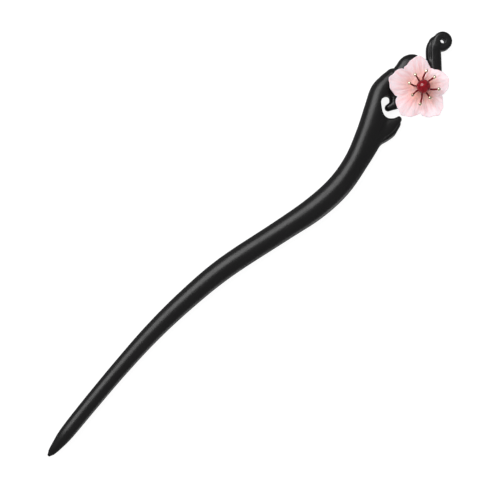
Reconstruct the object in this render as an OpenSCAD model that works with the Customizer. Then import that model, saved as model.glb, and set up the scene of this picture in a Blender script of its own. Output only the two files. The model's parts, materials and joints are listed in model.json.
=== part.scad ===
// Wooden hair stick with a carved cloud head, a scroll with a tassel eye, and a pinned shell blossom.
// It lies on its flat back. X runs from the tip to the scroll, and Z is up.

/* [Stick] */
// Overall length, from the tip to the scroll's end
overall_l = 180; // [150:1:216]
// Width of the shaft where it is widest
shaft_w = 7.5; // [6.2:0.1:9]
// Thickness of the board that the stick is carved from
board_t = 6.6; // [5.5:0.1:8]
// Height of the tip's underside above the flat back
tip_lift = 1.6; // [0:0.1:2.4]

/* [Head] */
// Length of the carved head, from its lower notch to the scroll's end
head_l = 39; // [32.5:0.5:47]
// Thickness of the wood under the blossom
seat_t = 4.6; // [3.9:0.1:5.5]
// Diameter of the wooden seat behind the blossom
seat_d = 11.6; // [9.5:0.1:12.5]
// Thickness of the scroll
scroll_t = 4.4; // [3.6:0.1:5.3]
// Diameter of the scroll
scroll_d = 5.9; // [5:0.1:7]
// Diameter of the tassel eye through the scroll
eye_d = 1.5; // [1.2:0.1:1.8]

/* [Blossom] */
// Width across the blossom
flower_d = 19; // [15.8:0.1:22.8]
// Thickness of the blossom at its centre
flower_t = 1.8; // [1.5:0.1:2.2]
// Thickness of a petal close to its rim
petal_t = 0.9; // [0.7:0.1:1.1]
// Height of the petal rims above the blossom's foot
cup_h = 3.2; // [2.7:0.1:3.9]

/* [Bead and stamens] */
// Diameter of the bead
bead_d = 4.4; // [3.7:0.1:5.3]
// Diameter of the peg that carries the bead
peg_d = 0.8; // [0.6:0.05:1]
// Depth of the peg in the wood
peg_depth = 3.2; // [2.6:0.1:3.3]
// Diameter of a stamen's wire
wire_d = 0.5; // [0.4:0.02:0.52]
// Diameter of the ball on a stamen
ball_d = 1.1; // [0.9:0.05:1.3]

/* [Hidden] */
STAMEN_COUNT = 8;

// Head sizes are written for a head of this length, and scale with it.
drawn_head_l = 39;
head_k = head_l / drawn_head_l;
// Places on the head are measured from one point under the blossom: the scroll's centre,
scroll_at = [15, 5.13];
// the blossom's hole,
hole_at = [-0.2, -0.2];
// and the crest's highest point across the stick.
crest_reach = 11.5;
// The petals spread from a point a little beside the blossom's hole.
petals_at = [0.4, 0];

// Petals in turn: the angle and depth of the notch where each starts, and the petal's length.
// Both lengths are fractions of the blossom's width.
PETALS = [
  [21, 0.322, 0.495],
  [91, 0.411, 0.566],
  [155, 0.441, 0.586],
  [217, 0.421, 0.524],
  [291, 0.327, 0.435]
];
petal_count = len(PETALS);
// How far the petals reach to the stick's lower side, as a fraction of the blossom's width.
low_reach = 0.517;
// How full the petals' outlines are: 1 is pointed, and less is rounder.
petal_fullness = 0.7;
// How late the petals rise: 1 is a cone, and more is a bowl.
cup_power = 1.35;

// The part's origin is the middle of its box, so the head's place follows from both ends.
head_x = overall_l / 2 - scroll_at[0] * head_k - scroll_d / 2;
head_y = (low_reach * flower_d - (crest_reach + hole_at[1]) * head_k) / 2;
blossom_x = head_x + hole_at[0] * head_k;
blossom_y = head_y + hole_at[1] * head_k;
tip_x = -overall_l / 2;

// Heights
foot_d = 6.4;
flower_top = seat_t + flower_t;
// Room over the wires under the bead.
wire_room = 0.27;
bead_z = flower_top + wire_d + wire_room + bead_d / 2;
// The peg ends above the bead's centre by this fraction of its diameter.
peg_end = 0.12;
peg_top = bead_z + peg_end * bead_d;
hole_floor = seat_t - peg_depth;

// The peg and the wires share one hole. Each wire stands in its own slot round the peg.
glue_gap = 0.03;
slot_r = peg_d / 2 + wire_d / 2 + glue_gap;
hole_d = 2 * (slot_r + wire_d / 2 + glue_gap);
// The hole's mouth is flared by this much, so that the wires can bend over its edge.
flare = wire_d;
first_slot = 30;
slot_step = 360 / STAMEN_COUNT;
// Heights on a wire's bend over the hole's mouth, in wire diameters.
bend_low = 2.5;
bend_edge = 0.8;
bend_high = 0.75;
// Where a wire kinks: fractions of its reach and of its rise.
kink_out = 0.6;
kink_up = 0.42;

// Stamens: how far the tip turns from its slot, its reach, its rise above the petals, its side kink.
// The last three are fractions of the bead's diameter.
STAMENS = [
  [3.5, 1.09, 0.72, 0.10],
  [4.5, 1.00, 0.80, -0.05],
  [1.5, 1.02, 0.74, 0.04],
  [6, 0.97, 0.70, -0.04],
  [3, 1.24, 0.66, 0.06],
  [-2, 0.92, 0.72, 0.03],
  [3.5, 1.09, 0.70, -0.05],
  [8.5, 1.00, 0.74, 0.05]
];

// Section of a carved strand: 1 is an oval, and less is squarer.
oval_section = 1;
soft_section = 0.8;
square_section = 0.7;
// Heights of the head's strands, as parts of the board's thickness.
crest_h = 0.94;
lobe_h = 0.72;
neck_h = 0.74;
curl_h = 0.68;
toe_h = 0.64;
bump_h = 0.75;
// The middle of a strand's section lies at this part of its height.
middle_h = 0.42;
// A strand's rounded end runs on to this angle, and thins by this power.
last_cap_angle = 80;
cap_thinning = 0.6;
// The scroll's edge is bevelled by this part of its thickness.
scroll_bevel = 0.16;
// Cutting tools run past a surface by this much.
past = 1;

// Mesh fineness
curve_steps = 3;
section_points = 16;
cap_steps = 3;
flower_rays = 90;
wire_sides = 10;
ball_rings = 6;
ball_tip_angle = 15;
$fn = 48;

// ---- Curves ----

// A point on the smooth curve from b to c, with a and d as the points on either side.
function curve_point(a, b, c, d, t) =
  0.5 * (2 * b + (c - a) * t + (2 * a - 5 * b + 4 * c - d) * t * t
    + (3 * b - a - 3 * c + d) * t * t * t);

// A smooth curve through every point of a list.
function smooth(points) =
  let (
    last = len(points) - 1,
    p = concat([2 * points[0] - points[1]], points, [2 * points[last] - points[last - 1]])
  )
  concat(
    [for (i = [1:last]) for (k = [0:curve_steps - 1])
      curve_point(p[i - 1], p[i], p[i + 1], p[i + 2], k / curve_steps)],
    [points[last]]
  );

function unit(v) = v / norm(v);
function along(points, i) =
  points[min(i + 1, len(points) - 1)] - points[max(i - 1, 0)];
function flat(v) = [v[0], v[1]];
function rounded(v, power) = sign(v) * pow(abs(v), power);

// Faces that join rings of n points into one closed skin.
function skin_faces(rings, n) = concat(
  [for (i = [0:rings - 2]) for (j = [0:n - 1]) let (k = (j + 1) % n)
    [i * n + j, (i + 1) * n + k, i * n + k]],
  [for (i = [0:rings - 2]) for (j = [0:n - 1]) let (k = (j + 1) % n)
    [i * n + j, (i + 1) * n + j, (i + 1) * n + k]],
  [[for (j = [0:n - 1]) j]],
  [[for (j = [n - 1:-1:0]) (rings - 1) * n + j]]
);

// ---- Wood ----

// Stations of a rounded end: they shrink as they run past the last point.
function end_cap(point, direction) =
  [for (k = [1:cap_steps])
    let (
      a = last_cap_angle * k / cap_steps,
      d = unit(flat(direction)) * point[2] * sin(a)
    )
    [point[0] + d[0], point[1] + d[1], point[2] * cos(a), point[3], point[4] * pow(cos(a), cap_thinning)]];

function reversed(list) = [for (i = [len(list) - 1:-1:0]) list[i]];

// A carved strand. Each point is [x, y, half width, middle height, half height].
// Only its last end is rounded. The board's back cuts off what would hang below it.
module strand(points, power) {
  core = smooth(points);
  last = len(core) - 1;
  stations = concat(core, end_cap(core[last], core[last] - core[last - 1]));
  corners = [
    for (i = [0:len(stations) - 1])
      let (s = stations[i], d = unit(flat(along(stations, i))))
        for (j = [0:section_points - 1])
          let (
            a = 360 * j / section_points,
            across = s[2] * rounded(cos(a), power),
            up = s[3] + s[4] * rounded(sin(a), power)
          )
          [s[0] - d[1] * across, s[1] + d[0] * across, up]
  ];
  polyhedron(corners, skin_faces(len(stations), section_points), convexity = 4);
}

// The shaft's middle line and half width: [part of its length, side offset, part of shaft_w].
SHAFT = [
  [0, 5.04, 0.083],
  [0.008, 5.1, 0.15],
  [0.03, 5.33, 0.224],
  [0.068, 5.8, 0.303],
  [0.152, 6.7, 0.328],
  [0.266, 7.63, 0.348],
  [0.38, 8, 0.385],
  [0.494, 7.3, 0.428],
  [0.608, 5.45, 0.458],
  [0.76, 0.75, 0.47],
  [0.851, -1.87, 0.503]
];
// Where that length ends, measured from the head's point.
shaft_end = 30.2;
shaft_l = head_x - tip_x - shaft_end * head_k;
// The shaft is a little wider than it is thick.
thick_to_wide = 0.9;
// The underside starts to rise at this part of the shaft's length.
rise_starts = 0.3;
rise_power = 1.5;

function shaft_half_t(s) = min(thick_to_wide * s[2] * shaft_w, board_t / 2);
function shaft_lift(s) = tip_lift * pow(max(0, 1 - s[0] / rise_starts), rise_power);
function shaft_point(s) = [
  tip_x + s[0] * shaft_l,
  head_y + s[1],
  s[2] * shaft_w,
  shaft_half_t(s) + shaft_lift(s),
  shaft_half_t(s)
];

// A place of a strand of the head, from [x, y, half width].
function head_point(p, height) = [
  head_x + p[0] * head_k,
  head_y + p[1] * head_k,
  p[2] * head_k,
  middle_h * height * board_t,
  (1 - middle_h) * height * board_t
];
function head_points(list, height) = [for (p = list) head_point(p, height)];

// Where the shaft runs into the head it keeps its oval section.
ROOT = [
  [-39.7, -2.58, 3.77],
  [-29.7, -1.22, 3.7],
  [-21.7, 1.1, 4.1],
  [-15.7, 3.35, 4]
];
function root_point(p) = [
  head_x + p[0] * head_k,
  head_y + p[1] * head_k,
  p[2] * head_k,
  board_t / 2,
  board_t / 2
];

module shaft() {
  strand(concat([for (s = SHAFT) shaft_point(s)], [for (p = ROOT) root_point(p)]), oval_section);
}

// The raised upper edge that ends over the blossom.
module crest() {
  strand(head_points([
    [-29.7, 0.35, 2.1],
    [-21.7, 3.6, 2.25],
    [-14.7, 6.85, 2.3],
    [-9.7, 9.1, 2.3],
    [-6.1, 9.35, 2.2],
    [-3.1, 8.6, 2.1]
  ], crest_h), soft_section);
}

// The rounded lobe under the opening.
module lobe() {
  strand(head_points([
    [-22.7, 0.75, 3.25],
    [-18.7, -0.3, 3.6],
    [-15.5, -0.9, 3.4],
    [-13.1, -1.55, 2.15],
    [-12, -1.6, 1.1]
  ], lobe_h), square_section);
}

// The C-shaped opening between the crest and the lobe.
module opening() {
  translate([0, 0, -board_t])
    linear_extrude(3 * board_t)
      for (p = [[-10.7, 4.1, 2], [-11.1, 2.95, 2.4], [-11.2, 1.7, 2.65], [-8.9, 1.1, 2]])
        translate([head_x + p[0] * head_k, head_y + p[1] * head_k])
          circle(p[2] * head_k);
}

// The wood between the crest and the blossom's seat, and the curl that grows from it.
module neck_and_curl() {
  strand(head_points([[-6.2, 8.95, 2.4], [-6.1, 6.75, 3.3], [-5.2, 5.45, 3]], neck_h), square_section);
  strand(head_points([[-6.5, 5.85, 2.4], [-8, 4.1, 1.65], [-9.4, 2.5, 1.5]], curl_h), square_section);
  strand(head_points([[-9.5, 2.45, 1.48], [-11.3, 3.15, 1.05]], toe_h), square_section);
}

// The second bump of the cloud, above the blossom.
module cloud_bump() {
  strand(head_points([[-0.1, 6.3, 4.05], [2.2, 6.2, 4.45], [3, 5.3, 4.2]], bump_h), square_section);
}

module seat() {
  translate([head_x, head_y, -board_t])
    cylinder(h = board_t + seat_t, d = seat_d);
}

// The stem leaves the seat and carries the scroll.
module stem() {
  strand(head_points([
    [3.3, -2.25, 2.15],
    [6.3, 0.05, 2.15],
    [9.15, 3.05, 2.25],
    [11.4, 5.4, 2.25],
    [13.3, 6.15, 2.25]
  ], scroll_t / board_t), soft_section);
}

module scroll() {
  edge = scroll_bevel * scroll_t;
  translate([head_x + scroll_at[0] * head_k, head_y + scroll_at[1] * head_k, 0])
    rotate_extrude()
      polygon([
        [0, -board_t],
        [scroll_d / 2, -board_t],
        [scroll_d / 2, scroll_t - 2 * edge],
        [scroll_d / 2 - edge, scroll_t - edge / 2],
        [scroll_d / 4, scroll_t],
        [0, scroll_t]
      ]);
}

// The board that the stick is sawn from, with its back at the origin's height.
module board() {
  translate([-overall_l, -overall_l / 2, 0])
    cube([2 * overall_l, overall_l, board_t]);
}

// One piece of wood, planed to the board's thickness before its two holes are drilled.
module hair_stick() {
  color([0.10, 0.10, 0.105])
    difference() {
      resize([0, 0, board_t])
        intersection() {
          board();
          union() {
            difference() {
              union() {
                shaft();
                crest();
                lobe();
              }
              opening();
            }
            neck_and_curl();
            cloud_bump();
            seat();
            stem();
            scroll();
          }
        }
      translate([blossom_x, blossom_y, hole_floor])
        cylinder(h = board_t, d = hole_d);
      translate([head_x + scroll_at[0] * head_k, head_y + scroll_at[1] * head_k, -past])
        cylinder(h = board_t + 2 * past, d = eye_d);
    }
}

// ---- Blossom ----

// The petal that holds an angle from 0 to 360, counted on from the first notch.
function petal_end(i) = i + 1 < petal_count ? PETALS[i + 1][0] : PETALS[0][0] + 360;
function petal_at(a) = max([for (i = [0:petal_count - 1]) a >= PETALS[i][0] ? i : 0]);

// Distance from the centre to the rim at an angle.
function rim(angle) =
  let (
    a = angle < PETALS[0][0] ? angle + 360 : angle,
    i = petal_at(a),
    from = PETALS[i],
    to = PETALS[(i + 1) % petal_count],
    t = (a - from[0]) / (petal_end(i) - from[0]),
    notch = from[1] + (to[1] - from[1]) * t,
    mean_notch = (from[1] + to[1]) / 2
  )
  flower_d * (notch + (from[2] - mean_notch) * pow(sin(180 * t), petal_fullness));

// Rings of the blossom, as parts of the way from the foot to the rim.
RINGS = [0, 0.2, 0.4, 0.6, 0.78, 0.92];
function ring_radius(f, angle) = foot_d / 2 + f * (rim(angle) - foot_d / 2);
function lift(f) = cup_h * pow(f, cup_power);
function thickness(f) = flower_t + (petal_t - flower_t) * f;

function ring_point(f, angle, z) =
  [ring_radius(f, angle) * cos(angle), ring_radius(f, angle) * sin(angle), z];
function ray_angle(j) = 360 * j / flower_rays;

module shell_flower() {
  under = [for (f = RINGS) for (j = [0:flower_rays - 1]) ring_point(f, ray_angle(j), lift(f))];
  edge = [for (j = [0:flower_rays - 1]) ring_point(1, ray_angle(j), lift(1) + petal_t / 2)];
  over = [for (f = reversed(RINGS)) for (j = [0:flower_rays - 1])
    ring_point(f, ray_angle(j), lift(f) + thickness(f))];
  color([0.98, 0.86, 0.85])
    translate([blossom_x, blossom_y, seat_t])
      difference() {
        translate(petals_at)
          polyhedron(concat(under, edge, over), skin_faces(2 * len(RINGS) + 1, flower_rays), convexity = 6);
        translate([0, 0, -past])
          cylinder(h = flower_t + 2 * past, d = hole_d);
        translate([0, 0, flower_t - flare])
          cylinder(h = 2 * flare, d1 = hole_d, d2 = hole_d + 4 * flare);
      }
}

// ---- Bead and its peg ----

module bead() {
  color([0.45, 0.02, 0.06])
    translate([blossom_x, blossom_y, 0])
      difference() {
        translate([0, 0, bead_z])
          sphere(d = bead_d);
        cylinder(h = peg_top + glue_gap, d = peg_d + 2 * glue_gap);
      }
}

module bead_pin() {
  color([0.78, 0.62, 0.3])
    translate([blossom_x, blossom_y, hole_floor])
      cylinder(h = peg_top - hole_floor, d = peg_d);
}

// ---- Stamens ----

// The bend of one wire: up its slot, out under the bead, then up to its ball.
function stamen_path(slot, row) =
  let (
    turn = slot + row[0],
    out = [cos(turn), sin(turn), 0],
    side = [-sin(turn), cos(turn), 0],
    foot = slot_r * [cos(slot), sin(slot), 0],
    up = [0, 0, 1],
    reach = row[1] * bead_d,
    rise = row[2] * bead_d,
    kink = row[3] * bead_d
  )
  smooth([
    foot + up * (hole_floor + glue_gap),
    foot + up * (flower_top - bend_low * wire_d),
    foot + up * (flower_top - bend_edge * wire_d),
    out * (slot_r + bend_edge * wire_d) + up * (flower_top + bend_high * wire_d),
    out * (kink_out * reach) + side * kink + up * (flower_top + kink_up * rise),
    out * reach + up * (flower_top + rise)
  ]);

// A wire along a path that swells into a ball at the path's last point.
module ball_ended_wire(path, side) {
  last = len(path) - 1;
  ball_r = ball_d / 2;
  way = unit(path[last] - path[last - 1]);
  neck = asin(wire_d / ball_d);
  ball_angles = [for (k = [0:ball_rings]) neck + (180 - ball_tip_angle - neck) * k / ball_rings];
  stations = concat(
    [for (i = [0:last - 1]) [path[i], along(path, i), wire_d / 2]],
    [for (a = ball_angles) [path[last] - way * ball_r * cos(a), way, ball_r * sin(a)]]
  );
  corners = [
    for (s = stations)
      let (t = unit(s[1]), a = unit(side - (side * t) * t), b = cross(t, a))
        for (j = [0:wire_sides - 1])
          s[0] + s[2] * (cos(360 * j / wire_sides) * a + sin(360 * j / wire_sides) * b)
  ];
  polyhedron(corners, skin_faces(len(stations), wire_sides), convexity = 4);
}

module stamen(i) {
  slot = first_slot + slot_step * i;
  turn = slot + STAMENS[i][0];
  color([0.5, 0.1, 0.1])
    translate([blossom_x, blossom_y, 0])
      ball_ended_wire(stamen_path(slot, STAMENS[i]), [-sin(turn), cos(turn), 0]);
}

hair_stick();
shell_flower();
bead();
bead_pin();
for (i = [1:STAMEN_COUNT])
  stamen(i - 1);
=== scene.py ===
import json
import math

import bpy
import numpy as np
import openvdb
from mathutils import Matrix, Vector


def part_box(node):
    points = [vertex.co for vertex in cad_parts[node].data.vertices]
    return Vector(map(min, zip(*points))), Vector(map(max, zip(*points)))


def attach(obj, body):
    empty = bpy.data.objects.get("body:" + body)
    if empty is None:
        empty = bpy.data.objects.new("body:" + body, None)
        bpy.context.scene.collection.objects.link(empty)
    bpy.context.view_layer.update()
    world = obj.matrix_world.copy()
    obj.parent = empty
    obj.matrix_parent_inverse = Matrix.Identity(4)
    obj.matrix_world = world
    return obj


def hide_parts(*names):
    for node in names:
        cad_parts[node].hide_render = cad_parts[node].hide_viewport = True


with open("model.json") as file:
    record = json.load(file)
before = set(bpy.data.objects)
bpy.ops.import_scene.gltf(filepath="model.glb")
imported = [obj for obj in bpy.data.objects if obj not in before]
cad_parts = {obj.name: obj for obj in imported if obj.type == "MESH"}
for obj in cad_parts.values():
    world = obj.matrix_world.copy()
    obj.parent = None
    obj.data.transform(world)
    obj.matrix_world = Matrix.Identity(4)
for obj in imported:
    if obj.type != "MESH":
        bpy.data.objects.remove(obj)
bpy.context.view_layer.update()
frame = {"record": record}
print("frame loaded")

# Shapes are worked out in millimetres in the frame's axes, and turned to metres as a mesh is made.
mm = 0.001

pinLow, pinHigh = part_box("bead_pin")
blossomX = (pinLow.x + pinHigh.x) / 2 / mm
blossomY = (pinLow.y + pinHigh.y) / 2 / mm
pegRadius = (pinHigh.x - pinLow.x) / 2 / mm
eye = next(m for m in frame["record"]["mounts"] if m["name"] == "tassel_eye")
eyeX, eyeY = eye["pos_m"][0] / mm, eye["pos_m"][1] / mm
drawnReach = 15.2  # from the blossom's hole to the eye, on the head that the sizes below are drawn for
drawnHole = 0.2  # the hole lies this far back and down from the head's point
headScale = (eyeX - blossomX) / drawnReach
headX, headY = blossomX + drawnHole * headScale, blossomY + drawnHole * headScale


def smoothCurve(points, steps):
    # a curve through every row of points, each row being a place and any sizes that go with it
    p = np.asarray(points, float)
    p = np.vstack([2 * p[0] - p[1], p, 2 * p[-1] - p[-2]])
    rows = []
    for i in range(1, len(p) - 2):
        a, b, c, d = p[i - 1:i + 3]
        for k in range(steps):
            t = k / steps
            rows.append(0.5 * (2 * b + (c - a) * t + (2 * a - 5 * b + 4 * c - d) * t ** 2
                               + (3 * b - a - 3 * c + d) * t ** 3))
    rows.append(p[-2])
    return np.array(rows)


def nearestOnCurve(curve, x, y):
    # signed distance to the curve, above zero on its left, and the curve's own sizes at the nearest place
    best = np.full(x.shape, 1e9)
    left = np.ones(x.shape)
    sizes = [np.zeros(x.shape) for _ in range(curve.shape[1] - 2)]
    for a, b in zip(curve[:-1], curve[1:]):
        run = b[:2] - a[:2]
        t = np.clip(((x - a[0]) * run[0] + (y - a[1]) * run[1]) / (run @ run), 0, 1)
        far = (x - a[0] - run[0] * t) ** 2 + (y - a[1] - run[1] * t) ** 2
        closer = far < best
        best = np.where(closer, far, best)
        left = np.where(closer, np.sign(run[0] * (y - a[1]) - run[1] * (x - a[0]) + 1e-9), left)
        for k in range(len(sizes)):
            sizes[k] = np.where(closer, a[k + 2] + (b[k + 2] - a[k + 2]) * t, sizes[k])
    return np.sqrt(best) * left, sizes


def softMin(a, b, k):
    h = np.clip(0.5 + 0.5 * (b - a) / k, 0, 1)
    return b + (a - b) * h - k * h * (1 - h)


def softMax(a, b, k):
    return -softMin(-a, -b, k)


def ease(low, high, v):
    t = np.clip((v - low) / (high - low), 0, 1)
    return t * t * (3 - 2 * t)


def meshFromField(name, field, xs, ys, zs):
    # the closed surface where the field is zero, with the solid on its negative side
    grid = openvdb.FloatGrid(float(field.max()))
    grid.copyFromArray(np.ascontiguousarray(field, dtype=np.float64).astype(np.float32))
    points, quads = grid.convertToQuads(0.0)
    place = np.stack([np.interp(points[:, i], np.arange(len(axis)), axis)
                      for i, axis in enumerate((xs, ys, zs))], axis=1)
    return meshFromRows(name, place, quads.astype(int).tolist())


def meshFromRows(name, place, faces):
    mesh = bpy.data.meshes.new(name)
    mesh.from_pydata((np.asarray(place) * mm).tolist(), [], faces)
    mesh.validate()
    mesh.update()
    mesh.polygons.foreach_set("use_smooth", [True] * len(mesh.polygons))
    piece = bpy.data.objects.new(name, mesh)
    bpy.context.scene.collection.objects.link(piece)
    return piece


def fitToBox(place, node):
    # the places, stretched by a hair so that they fill the CAD node's own box
    low, high = (np.array(corner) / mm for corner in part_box(node))
    first, last = place.min(0), place.max(0)
    return low + (place - first) * (high - low) / (last - first)


def vertexPlaces(mesh):
    place = np.zeros(len(mesh.vertices) * 3, np.float32)
    mesh.vertices.foreach_get("co", place)
    return place.reshape(-1, 3).astype(float)


def movePlaces(mesh, place):
    mesh.vertices.foreach_set("co", np.asarray(place, np.float32).ravel())
    mesh.update()


def addMask(mesh, name, values):
    mask = mesh.attributes.new(name, "FLOAT", "POINT")
    mask.data.foreach_set("value", np.asarray(values, np.float32))


def edgeEnds(mesh):
    # both ends of every edge, and how many edges meet at each vertex
    edges = np.zeros(len(mesh.edges) * 2, np.int32)
    mesh.edges.foreach_get("vertices", edges)
    a, b = edges.reshape(-1, 2).T
    return a, b, np.bincount(np.concatenate([a, b]), minlength=len(mesh.vertices))


def neighbourSum(values, a, b):
    return np.bincount(a, values[b], len(values)) + np.bincount(b, values[a], len(values))


pushBack = 1.03  # the push after each pull is this much stronger, so that nothing shrinks


def smoothPlaces(mesh, rounds, share):
    # pulls each vertex towards its neighbours and pushes it back, which takes off the grid's marks
    a, b, count = edgeEnds(mesh)
    place = vertexPlaces(mesh)
    for _ in range(rounds):
        for pull in (share, -share * pushBack):
            around = np.stack([neighbourSum(place[:, axis], a, b) for axis in range(3)], axis=1)
            place += pull * (around / count[:, None] - place)
    movePlaces(mesh, place)


def settle(piece, node, finish):
    piece.data.materials.append(finish)
    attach(piece, "root")
    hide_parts(node)


class Wire:
    # an output socket: a sum or product of wires adds the Math nodes for it
    def __init__(self, nodes, socket):
        self.nodes = nodes
        self.socket = socket

    def __add__(self, other):
        return self.nodes.maths("ADD", self, other)

    def __sub__(self, other):
        return self.nodes.maths("SUBTRACT", self, other)

    def __rsub__(self, other):
        return self.nodes.maths("SUBTRACT", other, self)

    def __mul__(self, other):
        return self.nodes.maths("MULTIPLY", self, other)

    __radd__ = __add__
    __rmul__ = __mul__


class Nodes:
    # the nodes of one material or world
    def __init__(self, tree):
        self.tree = tree

    def node(self, kind, settings=None, sockets=None, out=0):
        made = self.tree.nodes.new(kind)
        for key, value in (settings or {}).items():
            if key == "stops":
                while len(made.color_ramp.elements) < len(value):
                    made.color_ramp.elements.new(0.5)
                for stop, (at, colour) in zip(made.color_ramp.elements, value):
                    stop.position = at
                    stop.color = (*colour, 1)
            else:
                setattr(made, key, value)
        for key, value in (sockets or {}).items():
            self.plug(made.inputs[key], value)
        return Wire(self, made.outputs[out])

    def plug(self, socket, value):
        if isinstance(value, Wire):
            self.tree.links.new(value.socket, socket)
        else:
            socket.default_value = value

    def maths(self, operation, a, b):
        return self.node("ShaderNodeMath", {"operation": operation}, {0: a, 1: b})


class Paint(Nodes):
    # one material, its shader and the nodes that feed it
    def __init__(self, name, **fixed):
        self.material = bpy.data.materials.new(name)
        self.material.use_nodes = True
        super().__init__(self.material.node_tree)
        self.shader = next(n for n in self.tree.nodes if n.type == "BSDF_PRINCIPLED")
        for socket, value in fixed.items():
            self.shader.inputs[socket.replace("_", " ")].default_value = value

    def blend(self, factor, a, b):
        # colours go through Mix
        return self.node("ShaderNodeMix", {"data_type": "RGBA"}, {0: factor, 6: a, 7: b}, out=2)

    def between(self, value, low, high, newLow=0.0, newHigh=1.0):
        return self.node("ShaderNodeMapRange", {"interpolation_type": "SMOOTHSTEP"},
                         {0: value, 1: low, 2: high, 3: newLow, 4: newHigh})

    def places(self, stretch=(1, 1, 1)):
        # the object's own coordinates, stretched along each axis
        here = self.node("ShaderNodeTexCoord", out=3)
        return self.node("ShaderNodeVectorMath", {"operation": "MULTIPLY"}, {0: here, 1: stretch})

    def noise(self, at, scale, detail=3, rough=0.5, twist=0.0):
        sockets = {"Vector": at, "Scale": scale, "Detail": detail, "Roughness": rough, "Distortion": twist}
        return self.node("ShaderNodeTexNoise", None, sockets)

    def mask(self, name):
        return self.node("ShaderNodeAttribute", {"attribute_name": name}, out=2)

    def bump(self, height, depth, strength=1.0):
        return self.node("ShaderNodeBump", None, {"Height": height, "Distance": depth, "Strength": strength})

    def feed(self, **wires):
        for socket, wire in wires.items():
            self.plug(self.shader.inputs[socket.replace("_", " ")], wire)
        return self.material


def rgba(r, g, b):
    return (r, g, b, 1)


wood = {
    "dark": rgba(0.0030, 0.0030, 0.0033),
    "light": rgba(0.0075, 0.0071, 0.0070),
    "worn": rgba(0.014, 0.013, 0.013),
    "gloss": 0.32,
    "edgeBend": (0.5, 2.2),   # how sharply an edge bends where it starts to rub, and where it is worn
    "edgeSpread": 6,
    "boardHeight": (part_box("hair_stick")[1].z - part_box("hair_stick")[0].z) / mm,
    "shaftEnd": 30.2,         # the shaft's rows end this far before the head's point
    "thickToWide": 0.9,
    "tipLift": 1.6,
    "riseStarts": 0.3,        # the part of the shaft's length where its underside starts to rise
    "risePower": 1.5,
    "middleHeight": 0.42,     # where the middle of a head strand lies, as a part of its height
    "seatRadius": 5.8,
    "scrollRadius": 2.95,
    "scrollTop": 4.4,
    "holeRadius": 0.97,       # the hole for the peg and the wires
    "fineStart": 38,          # the finer grid starts this far before the head's point
    "shaftStep": 0.7,
    "headStep": 0.18,
}


def blackWood():
    # satin black lacquer over straight grain, rubbed a little brighter on its edges
    paint = Paint("blackWood", IOR=1.37)
    along = paint.places((60, 900, 900))
    grain = paint.noise(along, 1.0, detail=4, rough=0.6, twist=0.3)
    pores = paint.between(paint.noise(paint.places((350, 5200, 5200)), 1.0, detail=2), 0.56, 0.70)
    cloud = paint.noise(paint.places((90, 140, 140)), 1.0, detail=2)
    worn = paint.mask("edge") * paint.between(cloud, 0.3, 0.7, 0.35, 1.0)
    flank = paint.mask("flank")  # the sides are left matt
    colour = paint.blend(grain, wood["dark"], wood["light"])
    colour = paint.blend(worn * 0.4, colour, wood["worn"])
    rough = wood["gloss"] + (grain - 0.5) * 0.10 + (cloud - 0.5) * 0.08
    rough = rough + pores * 0.10 - worn * 0.04 + flank * 0.1
    height = grain * 0.5 - pores * 0.5
    return paint.feed(Base_Color=colour, Roughness=rough, Normal=paint.bump(height, 0.00002, 0.5))


def shaftRows():
    # [part of the shaft's length, side offset, half width]
    low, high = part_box("hair_stick")
    tip = low.x / mm
    length = headX - tip - wood["shaftEnd"] * headScale
    rows = [
        [0, 5.04, 0.62], [0.008, 5.1, 1.12], [0.03, 5.33, 1.68], [0.068, 5.8, 2.27],
        [0.152, 6.7, 2.46], [0.266, 7.63, 2.61], [0.38, 8, 2.89], [0.494, 7.3, 3.21],
        [0.608, 5.45, 3.44], [0.76, 0.75, 3.53], [0.851, -1.87, 3.78],
    ]
    made = []
    for part, side, half in rows:
        thick = min(wood["thickToWide"] * half, wood["boardHeight"] / 2)
        lift = wood["tipLift"] * max(0, 1 - part / wood["riseStarts"]) ** wood["risePower"]
        made.append([tip + part * length, headY + side, half, thick + lift, thick])
    return made


def headRows(rows):
    # rows are [x, y, half width, top] from the head's point, and the flat back cuts a strand's underside
    middle = wood["middleHeight"]
    return [[headX + x * headScale, headY + y * headScale, half * headScale,
             middle * top, (1 - middle) * top]
            for x, y, half, top in rows]


rootRows = [[-39.7, -2.58, 3.77, 6.6], [-29.7, -1.15, 3.65, 6.5], [-21.7, 1.0, 4.0, 5.4],
            [-15.7, 3.2, 4.0, 4.6]]
crestRows = [[-36, -2.1, 2.8, 6.3], [-29.7, -0.5, 3.05, 6.5], [-21.4, 2.3, 3.6, 6.55],
             [-14.0, 5.6, 3.8, 6.3], [-9.4, 7.9, 3.6, 6.0], [-6.1, 8.55, 3.0, 5.8], [-3.4, 8.7, 2.5, 5.6]]
lobeRows = [[-22.7, 0.75, 3.15, 4.8], [-18.7, -0.3, 3.6, 4.75], [-15.5, -0.9, 3.5, 4.7],
            [-13.1, -1.55, 2.2, 4.6], [-12, -1.65, 1.15, 4.5]]
openingCircles = [[-10.7, 4.3, 2.1], [-11.2, 3.0, 2.5], [-11.3, 1.9, 2.7], [-8.9, 1.1, 2]]
neckRows = [[-6.2, 8.95, 2.4, 4.9], [-6.1, 6.75, 3.3, 4.9], [-5.2, 5.45, 3, 4.9]]
curlArmRows = [[-6.3, 5.65, 2.4, 4.6], [-7.7, 3.9, 1.75, 4.5], [-9.2, 2.4, 1.6, 4.4]]
curlToeRows = [[-9.3, 2.35, 1.55, 4.3], [-11.4, 3.05, 1.1, 4.1]]
bumpRows = [[-0.1, 6.3, 4.1, 5.0], [2.2, 6.2, 4.5, 5.0], [3, 5.3, 4.2, 4.9]]
stemRows = [[3.3, -2.25, 2.2, 4.4], [6.3, 0.05, 2.2, 4.4], [9.15, 3.1, 2.35, 4.4], [11.4, 5.35, 2.35, 4.4],
            [13.2, 6.1, 2.3, 4.4]]
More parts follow.
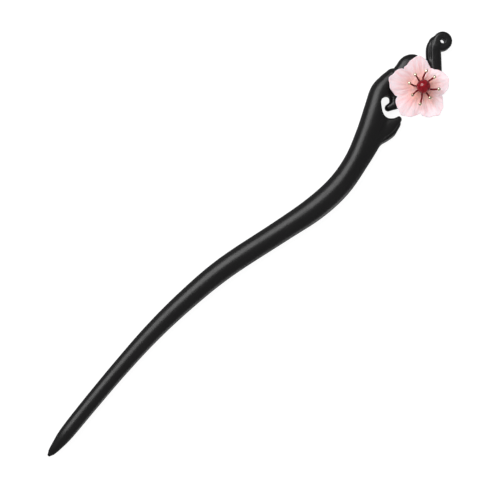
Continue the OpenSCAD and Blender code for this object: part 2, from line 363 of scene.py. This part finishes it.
stemFacet = {"top": 4.3, "fall": 0.4, "start": 0.55}
# lines are [x, y, share of the depth] from the head's point
stemLine = [[8.0, 3.75, 0.2], [8.8, 4.4, 1], [11, 6.45, 1], [12.3, 7.6, 0.3]]
lobeLine = [[-20.5, -2.6, 0.3], [-18.5, -2.9, 1], [-15.5, -3.3, 1], [-13, -2.8, 0.6]]


def strandField(rows, power, xs, ys, zs, steps=6, facet=None):
    # a rounded strand along a curve: its section is an oval, squarer as the power grows
    curve = smoothCurve(rows, steps)
    reach = curve[:, 2].max() + 1.5
    near = (xs > curve[:, 0].min() - reach) & (xs < curve[:, 0].max() + reach)
    field = np.full((len(xs), len(ys), len(zs)), 9.0)
    x, y = np.meshgrid(xs[near], ys, indexing="ij")
    side, (half, middle, high) = nearestOnCurve(curve, x, y)
    up = np.abs(zs[None, None, :] - middle[:, :, None])
    off, half, high = np.abs(side)[:, :, None], half[:, :, None], high[:, :, None]
    size = ((off / half) ** power + (up / high) ** power) ** (1 / power) + 1e-6
    out = np.sqrt(off ** 2 + up ** 2)
    made = np.clip(out * (1 - 1 / size), -9, 9)
    if facet:  # a flat that slopes down on the strand's left
        slope = facet["top"] - facet["fall"] * np.maximum(side - facet["start"], 0)
        made = softMax(made, (zs[None, None, :] - slope[:, :, None]) * 0.94, 0.2)
    field[near] = made
    return field


def discField(x, y, radius, top, xs, ys, zs, edge):
    off = np.hypot(xs[:, None] - x, ys[None, :] - y)[:, :, None] - radius
    return softMax(off, (zs - top)[None, None, :], edge)


def carvedLine(points, width, depth, xs, ys):
    # how deep a line is cut at each place
    rows = [[headX + x * headScale, headY + y * headScale, share] for x, y, share in points]
    x, y = np.meshgrid(xs, ys, indexing="ij")
    off, (share,) = nearestOnCurve(smoothCurve(rows, 6), x, y)
    return depth * share * np.exp(-(off / width) ** 2)


def carvedStick():
    low, high = (np.array(c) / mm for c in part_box("hair_stick"))
    change = headX - wood["fineStart"] * headScale
    xs = np.concatenate([np.arange(low[0] - 0.5, change, wood["shaftStep"]),
                         np.arange(change, high[0] + 0.6, wood["headStep"])])
    ys = np.arange(low[1] - 0.5, high[1] + 0.6, wood["headStep"])
    zs = np.arange(low[2] - 0.45, high[2] + 0.5, wood["headStep"])
    grid = (xs, ys, zs)
    shaft = shaftRows()
    root = headRows(rootRows)
    for row in root:
        row[3] = row[4] = (row[3] + row[4]) / 2
    field = strandField(shaft + root, 2.0, *grid)
    field = softMin(field, strandField(headRows(crestRows), 2.2, *grid), 1.0)
    field = softMin(field, strandField(headRows(lobeRows), 2.3, *grid), 0.8)
    hole = np.full((len(xs), len(ys)), 9.0)
    for x, y, radius in smoothCurve(openingCircles, 6):
        off = np.hypot(xs[:, None] - headX - x * headScale, ys[None, :] - headY - y * headScale)
        hole = np.minimum(hole, off - radius * headScale)
    field = softMax(field, -hole[:, :, None], 0.5)
    field = softMin(field, strandField(headRows(neckRows), 2.8, *grid), 0.4)
    field = softMin(field, strandField(headRows(curlArmRows), 2.6, *grid), 0.4)
    field = softMin(field, strandField(headRows(curlToeRows), 2.4, *grid), 0.3)
    field = softMin(field, strandField(headRows(bumpRows), 2.8, *grid), 0.3)
    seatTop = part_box("shell_flower")[0].z / mm
    field = softMin(field, discField(blossomX, blossomY, wood["seatRadius"], seatTop, *grid, 0.3), 0.4)
    field = softMin(field, strandField(headRows(stemRows), 2.5, *grid, facet=stemFacet), 0.3)
    scroll = discField(eyeX, eyeY, wood["scrollRadius"] * headScale, wood["scrollTop"], *grid, 1.0)
    field = softMin(field, scroll, 0.4)
    print("wood strands joined")
    cut = carvedLine(stemLine, 0.25, 0.3, xs, ys) + carvedLine(lobeLine, 0.3, 0.25, xs, ys)
    field += cut[:, :, None] * ease(1.5, 3.0, zs)[None, None, :]
    field = softMax(field, -np.broadcast_to(zs - low[2], field.shape), 0.25)
    off = np.hypot(xs[:, None] - eyeX, ys[None, :] - eyeY)
    field = softMax(field, (eye["dims"]["r_mm"] - off)[:, :, None], 0.2)
    off = np.hypot(xs[:, None] - blossomX, ys[None, :] - blossomY)
    under = pinLow.z / mm - zs
    drill = np.maximum((off - wood["holeRadius"])[:, :, None], under[None, None, :])
    field = np.maximum(field, -drill)
    piece = meshFromField("woodStick", field, *grid)
    smoothPlaces(piece.data, 3, 0.5)
    movePlaces(piece.data, fitToBox(vertexPlaces(piece.data) / mm, "hair_stick") * mm)
    addMask(piece.data, "edge", edgeMask(piece.data))
    addMask(piece.data, "flank", 1 - ease(0.15, 0.75, np.abs(vertexNormals(piece.data)[:, 2])))
    settle(piece, "hair_stick", blackWood())
    print("wood stick:", len(piece.data.polygons), "faces")


def vertexNormals(mesh):
    normal = np.zeros(len(mesh.vertices) * 3, np.float32)
    mesh.vertex_normals.foreach_get("vector", normal)
    return normal.reshape(-1, 3)


def edgeMask(mesh):
    # how strongly the surface bends outwards: 1 along a rubbed edge
    a, b, count = edgeEnds(mesh)
    place = vertexPlaces(mesh) / mm
    normal = vertexNormals(mesh)
    run = place[b] - place[a]
    length = np.linalg.norm(run, axis=1) + 1e-9
    turn = ((normal[b] - normal[a]) * run).sum(1) / length ** 2
    bend = (np.bincount(a, turn, len(place)) + np.bincount(b, turn, len(place))) / count
    for _ in range(wood["edgeSpread"]):
        bend = neighbourSum(bend, a, b) / count
    return ease(*wood["edgeBend"], bend)


carvedStick()


blossom = {
    "beside": 0.4,        # how far the petals' middle lies from the hole
    "foot": 3.2,          # radius of the flat foot
    "footThick": 1.8,
    "rimThick": 0.62,
    "fullReach": 10,
    "bowl": 2.2,          # how far the petals rise at their full reach
    "bowlPower": 1.3,
    "arch": 0.34,         # how far a petal's middle stands over its sides
    "droop": 0.18,        # how far its rim folds down
    "ruffle": 0.13,
    "furrow": 0.045,
    "hole": 0.99,
    "flare": 0.5,         # how much wider the hole's mouth is
    "step": 0.1,
    "pale": rgba(0.845, 0.70, 0.735),
    "pink": rgba(0.89, 0.57, 0.555),
    "salmon": rgba(0.97, 0.44, 0.34),
    "streak": rgba(0.83, 0.42, 0.44),
    "rim": rgba(0.80, 0.62, 0.68),
    # painted shade for the folds between petals
    "paintedShade": rgba(0.78, 0.42, 0.40),
}

# each petal: how high it lies over its neighbours, and [turn, reach] along its rim
petals = [
    {"over": 0.16,
     "rim": [[80, 4.2], [91, 8.0], [98, 9.2], [104, 9.75], [112, 10.1], [120, 11.0], [129, 10.5],
             [137, 10.35], [145, 9.5], [155, 8.5], [168, 4.5]]},
    {"over": 0.06,
     "rim": [[143, 4.5], [155, 8.5], [160, 9.55], [166, 10.0], [177, 10.6], [185, 11.25],
             [193, 10.75], [200, 10.3], [207, 9.4], [217, 8.1], [229, 4.2]]},
    {"over": -0.06,
     "rim": [[205, 4.2], [217, 8.1], [225, 9.1], [235, 9.65], [243, 9.6], [252, 10.07], [259, 9.4],
             [268, 8.7], [277, 7.55], [290, 6.3], [303, 3.6]]},
    {"over": 0.14,
     "rim": [[278, 3.6], [290, 6.3], [299, 7.0], [311, 7.7], [321, 7.8], [330, 8.2], [345, 7.7],
             [357, 7.1], [371, 6.35], [381, 6.1], [394, 3.6]]},
    {"over": -0.06,
     "rim": [[8, 3.6], [21, 6.1], [29, 7.0], [36, 8.1], [43, 8.8], [50, 9.5], [57, 9.45],
             [64, 9.1], [72, 8.85], [80, 8.35], [91, 8.0], [103, 4.2]]},
]


def petalPlaces(petal, x, y):
    # at each place: how far it is past the rim, its shares of the way out and across, and the petal's
    # own height over the foot and half thickness there
    rim = smoothCurve(petal["rim"], 8)
    first, last = rim[0, 0], rim[-1, 0]
    axis = (first + last) / 2
    x = x - blossom["beside"]
    turn = (np.degrees(np.arctan2(y, x)) - axis + 180) % 360 - 180
    out = np.hypot(x, y)
    reach = np.interp(turn + axis, rim[:, 0], rim[:, 1])
    slope = np.interp(turn + axis, rim[:, 0], np.gradient(rim[:, 1], np.radians(rim[:, 0])))
    inside = (out - reach) / np.sqrt(1 + (slope / np.maximum(out, 2.5)) ** 2)
    beyond = np.maximum(out, 2.5) * np.radians(np.abs(turn) - (last - first) / 2)
    inside = np.maximum(inside, beyond)
    share = np.clip(out / reach, 0, 1.2)
    across = turn / ((last - first) / 2 - 11)
    way = np.clip((out - blossom["foot"]) / (blossom["fullReach"] - blossom["foot"]), 0, 1.3)
    free = ease(0.0, 0.45, way)
    middle = blossom["bowl"] * way ** blossom["bowlPower"]
    arch = blossom["arch"] * (np.cos(np.clip(across, -1.3, 1.3) * 1.9) - 0.35)
    middle = middle + free * (petal["over"] + arch)
    middle = middle - blossom["droop"] * ease(0.72, 1.0, share) * free
    middle = middle + blossom["ruffle"] * np.sin(across * 9 + axis) * ease(0.6, 1.0, share)
    furrow = np.cos(across * 17 + 0.8 * np.sin(out * 0.9 + axis)) + 0.5 * np.cos(across * 29 + axis)
    furrow = blossom["furrow"] * furrow * ease(0.3, 0.5, share) * (1 - ease(0.8, 0.98, share))
    thinner = (blossom["footThick"] - blossom["rimThick"]) * np.clip(way, 0, 1) ** 0.6
    half = (blossom["footThick"] - thinner) / 2
    return inside, share, across, middle + furrow, half


def petalField(petal, x, y, z):
    inside, share, across, middle, half = petalPlaces(petal, x, y)
    return softMax(np.abs(z - middle - half) * 0.88 - half * 0.88, inside, 0.22)


def shellBlossomPiece():
    step = blossom["step"]
    xs = np.arange(-12, 9.4, step)
    ys = np.arange(-10.8, 10.8, step)
    zs = np.arange(-0.5, 5.2, step)
    x, y = (grid[:, :, None] for grid in np.meshgrid(xs, ys, indexing="ij"))
    z = zs[None, None, :]
    field = np.full((len(xs), len(ys), len(zs)), 9.0)
    for petal in petals:
        field = softMin(field, petalField(petal, x, y, z), 0.10)
    off = np.hypot(x, y)
    footHalf = blossom["footThick"] / 2
    hub = softMax(off - blossom["foot"] + 1.0, np.abs(z - footHalf) - footHalf, 0.3)
    field = softMin(field, hub, 0.5)
    field = softMax(field, -(z + 0 * off), 0.15)  # the foot is flat
    mouth = blossom["flare"] * ease(1.3, 1.8, z)
    field = np.maximum(field, blossom["hole"] + mouth - off + 0 * z)
    piece = meshFromField("shellBlossom", field, xs, ys, zs)
    smoothPlaces(piece.data, 2, 0.5)
    place = vertexPlaces(piece.data) / mm
    paintPetals(piece.data, place)
    low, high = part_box("shell_flower")
    place[:, 2] *= min(1.0, (high.z - low.z) / mm / place[:, 2].max())
    movePlaces(piece.data, (place + [blossomX, blossomY, low.z / mm]) * mm)
    settle(piece, "shell_flower", pinkShell())
    print("shell blossom:", len(piece.data.polygons), "faces")


def paintPetals(mesh, place):
    # for every vertex: which petal it is on, how far out and across, and how near a fold between petals,
    # where shade is painted in
    x, y, z = place.T
    nearest = np.full(len(x), 9.0)
    share = np.zeros(len(x))
    across = np.zeros(len(x))
    which = np.zeros(len(x))
    for i, petal in enumerate(petals):
        inside, out, side, middle, half = petalPlaces(petal, x, y)
        gap = np.maximum(np.abs(z - middle - half) - half, inside)
        own = gap < nearest
        nearest = np.where(own, gap, nearest)
        share = np.where(own, out, share)
        across = np.where(own, side, across)
        which = np.where(own, i, which)
    fold = ease(0.70, 1.05, np.abs(across)) * ease(0.25, 0.5, share) * (1 - ease(0.80, 1.0, share))
    addMask(mesh, "share", share)
    addMask(mesh, "fold", fold)
    # each petal has its own stretch of the streaks
    along = np.stack([across * 3.2 + which * 10, share * 9, which], 1)
    petalPlace = mesh.attributes.new("petalPlace", "FLOAT_VECTOR", "POINT")
    petalPlace.data.foreach_set("vector", along.astype(np.float32).ravel())


def pinkShell():
    # polished shell, salmon at the heart and nearly white at the rim, with fine streaks running out, and
    # painted shade darkening the folds between petals
    paint = Paint("pinkShell", IOR=1.38, Subsurface_Weight=0.2, Subsurface_Scale=0.0006, Coat_Weight=0.08,
                  Coat_Roughness=0.25)
    paint.shader.inputs["Subsurface Radius"].default_value = (1.0, 0.5, 0.45)
    here = paint.node("ShaderNodeAttribute", {"attribute_name": "petalPlace"}, out=1)
    share = paint.mask("share")
    fold = paint.mask("fold")
    long = paint.node("ShaderNodeVectorMath", {"operation": "MULTIPLY"}, {0: here, 1: (1.0, 0.16, 1.0)})
    streaks = paint.noise(long, 3.0, detail=4, rough=0.6, twist=0.4)
    veins = paint.noise(long, 7.0, detail=3, rough=0.55, twist=0.6)
    clouds = paint.noise(here, 0.35, detail=2)
    warm = paint.between(share + (streaks - 0.5) * 0.35 + (clouds - 0.5) * 0.3, 0.95, 0.20)
    glow = paint.between(share + (streaks - 0.5) * 0.3, 0.74, 0.18)
    colour = paint.blend(warm, blossom["pale"], blossom["pink"])
    colour = paint.blend(glow * 0.85, colour, blossom["salmon"])
    broad = paint.noise(long, 1.5, detail=2, twist=0.3)
    colour = paint.blend(paint.between(broad, 0.46, 0.64) * 0.3, colour, blossom["streak"])
    lines = paint.between(streaks, 0.50, 0.64) * paint.between(share, 1.05, 0.45) * 0.7
    colour = paint.blend(lines, colour, blossom["streak"])
    fine = paint.between(veins, 0.53, 0.66) * paint.between(share, 1.0, 0.5) * 0.3
    colour = paint.blend(fine, colour, blossom["streak"])
    # painted shade: the folds between petals are darkened
    colour = paint.blend(fold * 0.5, colour, blossom["paintedShade"])
    colour = paint.blend(paint.between(share, 0.93, 1.01) * 0.5, colour, blossom["rim"])
    rough = 0.52 + (veins - 0.5) * 0.16 + (clouds - 0.5) * 0.1
    return paint.feed(Base_Color=colour, Roughness=rough, Normal=paint.bump(veins, 0.00005, 0.35))


shellBlossomPiece()


glueGap = 0.03

bead = {
    "low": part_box("bead")[0].z / mm,
    "high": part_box("bead")[1].z / mm,
    "sides": 96,
    "rings": 48,
    "red": rgba(0.27, 0.003, 0.010),
    "deep": rgba(0.09, 0.0008, 0.004),
}


def turned(name, profile, sides):
    # a closed turned piece from [radius, height] rows that start and end on its axis
    place, faces = [[0, 0, profile[0][1]]], []
    for radius, height in profile[1:-1]:
        for k in range(sides):
            a = 2 * math.pi * k / sides
            place.append([radius * math.cos(a), radius * math.sin(a), height])
    place.append([0, 0, profile[-1][1]])
    last = len(profile) - 3
    for k in range(sides):
        n = (k + 1) % sides
        faces.append([0, 1 + n, 1 + k])
        for ring in range(last):
            a, b = 1 + ring * sides, 1 + (ring + 1) * sides
            faces.append([a + k, a + n, b + n, b + k])
        faces.append([1 + last * sides + k, 1 + last * sides + n, len(place) - 1])
    place = np.array(place) + [blossomX, blossomY, 0]
    return meshFromRows(name, place, faces)


def redBeadPiece():
    radius, middle = (bead["high"] - bead["low"]) / 2, (bead["high"] + bead["low"]) / 2
    hole = pegRadius + glueGap
    pinTop = pinHigh.z / mm + glueGap
    start = math.degrees(math.asin((hole + 0.12) / radius))  # the hole's edge is broken
    profile = [[0, pinTop], [hole, pinTop], [hole, bead["low"] + 0.16]]
    for k in range(bead["rings"] + 1):
        a = math.radians(start + (180 - start) * k / bead["rings"])
        profile.append([radius * math.sin(a) + 1e-4, middle - radius * math.cos(a)])
    profile[-1][0] = 0
    piece = turned("redBead", profile, bead["sides"])
    settle(piece, "bead", redStone())


def redStone():
    # clouded deep red stone with a high polish
    paint = Paint("redStone", IOR=1.46)
    here = paint.places()
    cloud = paint.noise(here, 700.0, detail=4, rough=0.6, twist=1.2)
    vein = paint.between(paint.noise(here, 1500.0, detail=2, twist=0.8), 0.52, 0.62)
    colour = paint.blend(paint.between(cloud, 0.35, 0.7), bead["red"], bead["deep"])
    colour = paint.blend(vein * 0.35, colour, bead["deep"])
    return paint.feed(Base_Color=colour, Roughness=0.09 + (cloud - 0.5) * 0.06)


peg = {
    "bevel": 0.12,
    "bands": 12,         # grooves between them hold the glue
    "groove": 0.06,      # half the width of a groove
    "sides": 40,
    "bright": rgba(0.78, 0.56, 0.24),
    "dull": rgba(0.55, 0.36, 0.14),
}


def brassPegPiece():
    low, high = pinLow.z / mm, pinHigh.z / mm
    bevel, groove = peg["bevel"], peg["groove"]
    profile = [[0, low], [pegRadius * 0.7, low], [pegRadius, low + bevel]]
    for k in range(1, peg["bands"]):
        height = low + bevel + (high - low - 2 * bevel) * k / peg["bands"]
        profile += [[pegRadius, height - groove], [pegRadius * 0.97, height], [pegRadius, height + groove]]
    profile += [[pegRadius, high - bevel], [pegRadius * 0.7, high], [0, high]]
    piece = turned("brassPeg", profile, peg["sides"])
    settle(piece, "bead_pin", drawnBrass())


def drawnBrass():
    # drawn brass with fine lines along it
    paint = Paint("drawnBrass", Metallic=1.0)
    lines = paint.noise(paint.places((9000, 9000, 300)), 1.0, detail=2)
    colour = paint.blend(lines, peg["bright"], peg["dull"])
    return paint.feed(Base_Color=colour, Roughness=0.25 + lines * 0.2,
                      Normal=paint.bump(lines, 0.00001, 0.5))


# each stamen: how far its tip turns from its slot, then its reach, rise and side kink in bead diameters
stamens = [
    [3.5, 1.09, 0.72, 0.10], [4.5, 1.00, 0.80, -0.05], [1.5, 1.02, 0.74, 0.04], [6, 0.97, 0.70, -0.04],
    [3, 1.24, 0.66, 0.06], [-2, 0.92, 0.72, 0.03], [3.5, 1.09, 0.70, -0.05], [8.5, 1.00, 0.74, 0.05],
]


stamen = {
    "wire": 0.5,
    "ball": 1.1,
    "firstSlot": 30,
    "slotStep": 45,
    "sides": 20,
    "lumps": 0.05,       # how uneven the ball is
    "enamel": rgba(0.13, 0.002, 0.006),
    "enamelWorn": rgba(0.22, 0.004, 0.010),
    "gold": rgba(0.97, 0.86, 0.64),
    # painted reflection: dark brown spots on the gold balls
    "paintedDarkReflection": rgba(0.30, 0.12, 0.05),
}


def stamenPiece(i, finish):
    turnBy, reach, rise, kink = stamens[i]
    wire, ball, sides = stamen["wire"], stamen["ball"], stamen["sides"]
    beadWide = bead["high"] - bead["low"]
    slot = math.radians(stamen["firstSlot"] + stamen["slotStep"] * i)
    turn = slot + math.radians(turnBy)
    out = np.array([math.cos(turn), math.sin(turn), 0])
    side = np.array([-math.sin(turn), math.cos(turn), 0])
    up = np.array([0, 0, 1.0])
    slotRadius = pegRadius + wire / 2 + glueGap
    foot = slotRadius * np.array([math.cos(slot), math.sin(slot), 0])
    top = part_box("shell_flower")[0].z / mm + blossom["footThick"]
    path = smoothCurve([
        foot + up * (pinLow.z / mm + glueGap),
        foot + up * (top - 2.5 * wire),
        foot + up * (top - 0.8 * wire),
        out * (slotRadius + 0.8 * wire) + up * (top + 0.75 * wire),
        out * 0.6 * reach * beadWide + side * kink * beadWide + up * (top + 0.42 * rise * beadWide),
        out * reach * beadWide + up * (top + rise * beadWide),
    ], 8)
    ahead = path[-1] - path[-2]
    ahead /= np.linalg.norm(ahead)
    rings = []  # middle, direction, radius, and 0 on the wire or 1 on the ball
    for k, point in enumerate(path[:-1]):
        way = path[k + 1] - path[max(k - 1, 0)]
        share = k / (len(path) - 1)
        swell = 1.18 - 0.25 * max(0, share - 0.6) + 0.05 * math.sin(9 * share + i)
        rings.append((point, way, wire / 2 * swell, 0.0))
    neck = math.asin(wire / ball)
    for k in range(1, 15):
        a = neck + (math.radians(176) - neck) * k / 14
        lumps = 1 + stamen["lumps"] * math.sin(5 * a + i)
        middle = path[-1] - ahead * ball / 2 * math.cos(a)
        rings.append((middle, ahead, ball / 2 * math.sin(a) * lumps, 1.0))
    place, masks, faces = [], [], []
    for point, way, radius, onBall in rings:
        way = way / np.linalg.norm(way)
        a = side - (side @ way) * way
        a /= np.linalg.norm(a)
        b = np.cross(way, a)
        for k in range(sides):
            t = 2 * math.pi * k / sides
            lumps = 1 + onBall * stamen["lumps"] * math.sin(5 * t + i)
            place.append(point + radius * lumps * (math.cos(t) * a + math.sin(t) * b))
            masks.append(onBall)
    for ring in range(len(rings) - 1):
        for k in range(sides):
            n = (k + 1) % sides
            a, b = ring * sides, (ring + 1) * sides
            faces.append([a + k, a + n, b + n, b + k])
    faces.append(list(range(sides))[::-1])
    faces.append([(len(rings) - 1) * sides + k for k in range(sides)])
    piece = meshFromRows(f"stamen{i + 1}", np.array(place) + [blossomX, blossomY, 0], faces)
    addMask(piece.data, "ball", masks)
    settle(piece, f"stamen_{i + 1}", finish)


def giltWire():
    # dark red enamel on the wire, and grained gold on the ball with dark brown spots painted in as
    # reflections of a dark room
    paint = Paint("giltWire", IOR=1.35)
    ball = paint.mask("ball")
    here = paint.places()
    grainsAndReflections = paint.noise(here, 4200.0, detail=2)
    worn = paint.noise(here, 1800.0, detail=3)
    enamel = paint.blend(worn, stamen["enamel"], stamen["enamelWorn"])
    # painted reflection: the dark brown spots stand in for the dark room seen in the gold
    gold = paint.blend(paint.between(grainsAndReflections, 0.54, 0.66), stamen["gold"], stamen["paintedDarkReflection"])
    return paint.feed(Base_Color=paint.blend(ball, enamel, gold), Metallic=ball,
                      Roughness=0.36 - ball * 0.12 + (worn - 0.5) * 0.1,
                      Normal=paint.bump(grainsAndReflections, 0.00004, 0.5))


redBeadPiece()
brassPegPiece()
wireFinish = giltWire()
for i in range(len(stamens)):
    stamenPiece(i, wireFinish)
print("bead, peg and stamens made")


studio = {
    "key": {"turn": 90, "tilt": 39, "away": 1.0, "half": 0.37, "watts": 10.4},
    "fill": {"turn": -80, "tilt": 46, "away": 1.0, "half": 0.5, "watts": 3.7, "glare": False},
    "edge": {"turn": -90, "tilt": 116, "away": 1.0, "half": 0.2, "watts": 1.5},
    "camera": {"place": (-0.73, 3.007, 453.5), "turn": -46.42, "angle": 19.47, "sensor": 36},
    "floorHalf": 6000,
    "floorDrop": 0.05,   # the floor lies this far under the stick
    "low": (0.28, 0.28, 0.285),
    "high": (0.30, 0.30, 0.305),
}


def studioFloor():
    # plain and pale, lit a little from within so that it stays even
    paint = Paint("paleFloor", Roughness=0.9)
    paint.shader.inputs["Emission Strength"].default_value = 0.9
    fleck = paint.noise(paint.places(), 40.0)
    paint.feed(Base_Color=paint.blend(fleck, rgba(0.19, 0.19, 0.19), rgba(0.21, 0.21, 0.21)))
    paint.shader.inputs["Emission Color"].default_value = rgba(1, 1, 1)
    side, down = studio["floorHalf"], -studio["floorDrop"]
    corners = [[-side, -side, down], [side, -side, down], [side, side, down], [-side, side, down]]
    floor = meshFromRows("floor", corners, [[0, 1, 2, 3]])
    floor.data.materials.append(paint.material)
    floor.visible_glossy = False  # its glare would grey the wood's dark rims
    floor.visible_shadow = False  # the low edge light shines up past it


def softBox(name, turn, tilt, away, half, watts, glare=True):
    light = bpy.data.lights.new(name, "AREA")
    light.shape = "SQUARE"
    light.size = 2 * half
    light.energy = watts
    lamp = bpy.data.objects.new(name, light)
    t, e = math.radians(turn), math.radians(tilt)
    lamp.location = (away * math.sin(e) * math.cos(t), away * math.sin(e) * math.sin(t), away * math.cos(e))
    lamp.rotation_euler = (0, e, t)
    lamp.visible_glossy = glare
    bpy.context.scene.collection.objects.link(lamp)


def paleRoom():
    # an even pale grey, a touch brighter overhead
    world = bpy.data.worlds.new("room")
    bpy.context.scene.world = world
    world.use_nodes = True
    room = Nodes(world.node_tree)
    facing = room.node("ShaderNodeTexCoord")
    height = room.node("ShaderNodeSeparateXYZ", None, {0: facing}, out=2)
    stops = [(0.0, studio["low"]), (0.75, studio["high"])]
    grey = room.node("ShaderNodeValToRGB", {"stops": stops}, {0: height})
    room.plug(world.node_tree.nodes["Background"].inputs[0], grey)


def studioCamera():
    # straight above, turned so that the stick rises to the right
    view = studio["camera"]
    data = bpy.data.cameras.new("camera")
    data.sensor_width = view["sensor"]
    data.lens = view["sensor"] / 2 / math.tan(math.radians(view["angle"] / 2))
    camera = bpy.data.objects.new("camera", data)
    camera.location = [v * mm for v in view["place"]]
    camera.rotation_euler = (0, 0, math.radians(view["turn"]))
    bpy.context.scene.collection.objects.link(camera)
    bpy.context.scene.camera = camera


studioFloor()
softBox("keyBox", **studio["key"])
softBox("fillBox", **studio["fill"])
softBox("edgeBox", **studio["edge"])
paleRoom()
studioCamera()
bpy.context.scene.view_settings.view_transform = "Standard"
print("stage set")
